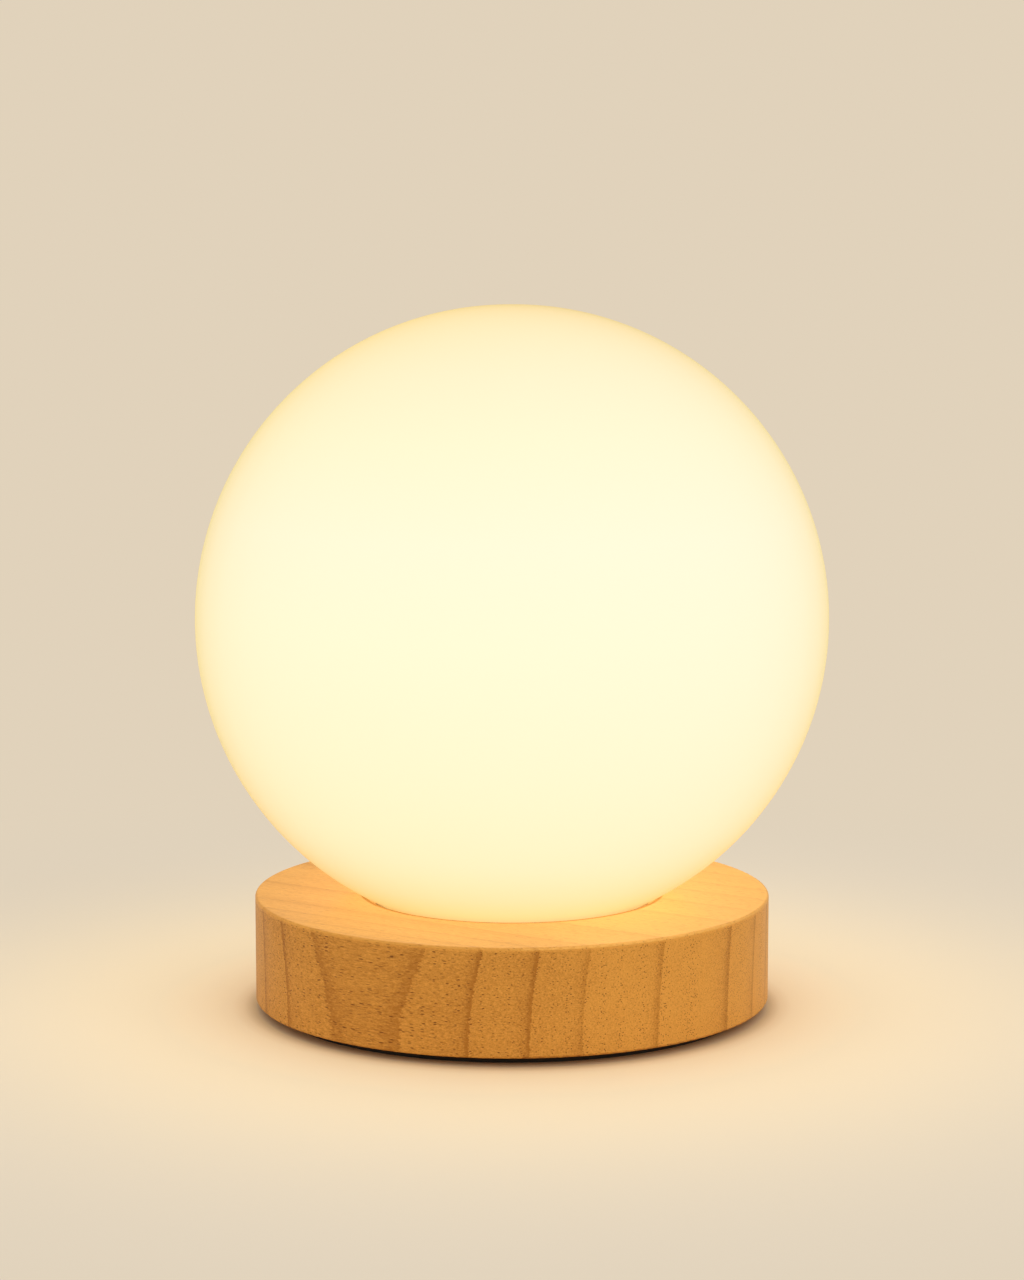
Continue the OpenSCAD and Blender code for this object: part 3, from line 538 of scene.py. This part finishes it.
# Two wires with a copper core run from the lampholder down through the stem. The live one has a
# brown sleeve and the neutral one a blue sleeve, of slightly glossy silicone. Both are stripped
# where they enter the contacts and the terminal block.
contact_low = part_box("lamp_contacts")[0][2] / MM
block_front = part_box("terminal_block")[0][1] / MM
SLEEVES = {
    "lead_live": ((0.17, 0.055, 0.02), (0.22, 0.08, 0.03)),
    "lead_neutral": ((0.02, 0.1, 0.38), (0.03, 0.14, 0.5)),
}
COPPER = (0.78, 0.36, 0.2)
for name, colors in SLEEVES.items():
    sleeve, points = new_finish(name + "_sleeve", Coat_Weight=0.2, Coat_Roughness=0.3)
    dust = points.noise(1.2, 3)
    bare = points.part(2).step(contact_low - 0.12, contact_low - 0.1)
    bare = bare.math("MAXIMUM", bare, points.part(1).step(block_front - 0.12, block_front - 0.1))
    feed(
        sleeve,
        Base_Color=bare.mix(dust.mix(*colors), COPPER),
        Metallic=bare,
        Roughness=0.4 + 0.15 * dust,
        Normal=dust.relief(0.02),
    )
    dress(sleeve, name)


# The terminal block is moulded in natural nylon, milky and slightly yellow.
nylon, points = new_finish("natural_nylon")
flow = points.noise(0.35, 3)
feed(
    nylon,
    Base_Color=flow.mix((0.68, 0.66, 0.57), (0.77, 0.75, 0.67)),
    Roughness=0.35 + 0.2 * flow,
    Normal=points.noise(2.5).relief(0.015),
)
dress(nylon, "terminal_block")


# The bottom cover is sheet steel with a black powder coat, finely wrinkled.
powder, points = new_finish("black_powder_coat")
wrinkle = points.noise(1.4, 4)
feed(
    powder,
    Base_Color=wrinkle.mix((0.012, 0.012, 0.012), (0.03, 0.03, 0.03)),
    Roughness=0.45 + 0.25 * wrinkle,
    Normal=wrinkle.relief(0.09),
)
dress(powder, "bottom_cover")


# The lamp stands on plain warm paper, in even studio light that comes mostly from above. Far off,
# the paper fades into the backdrop. Close to the wood it is painted darker right at the wood's
# edge, a painted contact shadow, and painted warmer just beyond, in place of the light that comes
# off the wood.
BACKDROP = (0.752, 0.645, 0.497)
SKY_HIGH = (1.0, 1.0, 1.0)
SKY_LOW = (0.42, 0.32, 0.18)
PAPER_AND_PAINTED_LIGHT = [
    (0.517, (0.68, 0.5, 0.3)), (0.537, (0.82, 0.66, 0.46)), (0.56, (0.84, 0.71, 0.53)),
    (0.625, (0.77, 0.67, 0.54)), (0.71, (0.71, 0.64, 0.54)),
]
KEY_POWER = 4.2
FILL_POWER = 2.6
PAPER_GLOW = (0.468, (1.0, 0.73, 0.24))
LAMP_GLOW = (0.28, (0.8, 1.05, 1.35))
GLOW_RADIUS = 75.3
GLOW_LOW = 3.6
UNLIT_BY_BALL = ("globe_shade", "shade_gasket")
FLOOR_R = 4
PAPER_REACH = 120
FADE_START, FADE_END = 115, 280
PANEL_WIDE = 1.4
PANEL_COLOR = (1.0, 0.97, 0.93)
# Each panel's power in watts, its place in metres, and its tilt and turn in degrees.
PANELS = (
    (KEY_POWER, (1.1, -1.2, 0.9), 63, 43),
    (FILL_POWER, (-1.63, -0.76, 0.4), 77, -65),
)

world = bpy.data.worlds.new("studio")
bpy.context.scene.world = world
world.use_nodes = True
sky = world.node_tree.nodes["Background"]
ray = world.node_tree.nodes.new("ShaderNodeLightPath")
seen = Signal(ray.outputs["Is Camera Ray"]) + Signal(ray.outputs["Is Glossy Ray"])
seen = (seen + Signal(ray.outputs["Is Transmission Ray"])).step(0, 1)
aloft = Signal(world.node_tree.nodes.new("ShaderNodeTexCoord").outputs["Generated"]).part(2)
air = aloft.step(-0.05, 0.7).mix(SKY_LOW, SKY_HIGH)
world.node_tree.links.new(seen.mix(air, BACKDROP).socket, sky.inputs["Color"])

bpy.ops.object.select_all(action="DESELECT")
bpy.ops.mesh.primitive_circle_add(vertices=128, radius=FLOOR_R, fill_type="NGON")
floor = bpy.context.object
floor.name = "floor"
paper, points = new_finish("paper", Roughness=0.9, Specular_IOR_Level=0.1)
tree = paper.node_tree
away = points.node("VectorMath", {"operation": "LENGTH"}, {0: points}, output=1)
feed(paper, Base_Color=(away / PAPER_REACH).ramp(PAPER_AND_PAINTED_LIGHT))
far = away.step(FADE_START, FADE_END)
eye = Signal(tree.nodes.new("ShaderNodeLightPath").outputs["Is Camera Ray"])
blank = far.node("Emission", {}, {"Color": (*BACKDROP, 1), "Strength": 1.0})
lit_paper = Signal(tree.nodes["Principled BSDF"].outputs[0])
joined = eye.node("MixShader", {}, {0: eye * far, 1: lit_paper, 2: blank})
tree.links.new(joined.socket, tree.nodes["Material Output"].inputs["Surface"])
floor.data.materials.append(paper)

for power, place, tilt, turn in PANELS:
    bpy.ops.object.light_add(type="AREA", location=place)
    panel = bpy.context.object
    panel.data.shape = "DISK"
    panel.data.size = PANEL_WIDE
    panel.data.energy = power
    panel.data.color = PANEL_COLOR
    panel.rotation_euler = (radians(tilt), 0, radians(turn))
    panel.visible_glossy = False

# The light that the lamp itself gives comes from a ball just larger than the glass, which goes up
# with it. The paper and the lamp get their own share of it. The glass gets none, so that it isn't
# burnt out, and the silicone ring gets none, because the ball comes right up to it.
rest_of_lamp = [node for name, node in nodes.items() if name not in UNLIT_BY_BALL]
glow_z = (globe_high[2] + globe_low[2]) / 2 - GLOW_LOW * MM
for share, lit in {"glow_on_paper": [floor], "glow_on_lamp": rest_of_lamp}.items():
    bpy.ops.object.light_add(type="POINT", location=(0, 0, glow_z))
    glow = bpy.context.object
    glow.name = share
    glow.data.shadow_soft_size = GLOW_RADIUS * MM
    glow.data.use_soft_falloff = False
    glow.data.energy, glow.data.color = PAPER_GLOW if share == "glow_on_paper" else LAMP_GLOW
    glow.visible_camera = False
    glow.visible_glossy = False
    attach(glow, "globe")
    group = bpy.data.collections.new(share)
    bpy.context.scene.collection.children.link(group)
    for thing in lit:
        group.objects.link(thing)
    glow.light_linking.receiver_collection = group

bpy.context.scene.view_settings.view_transform = "Standard"
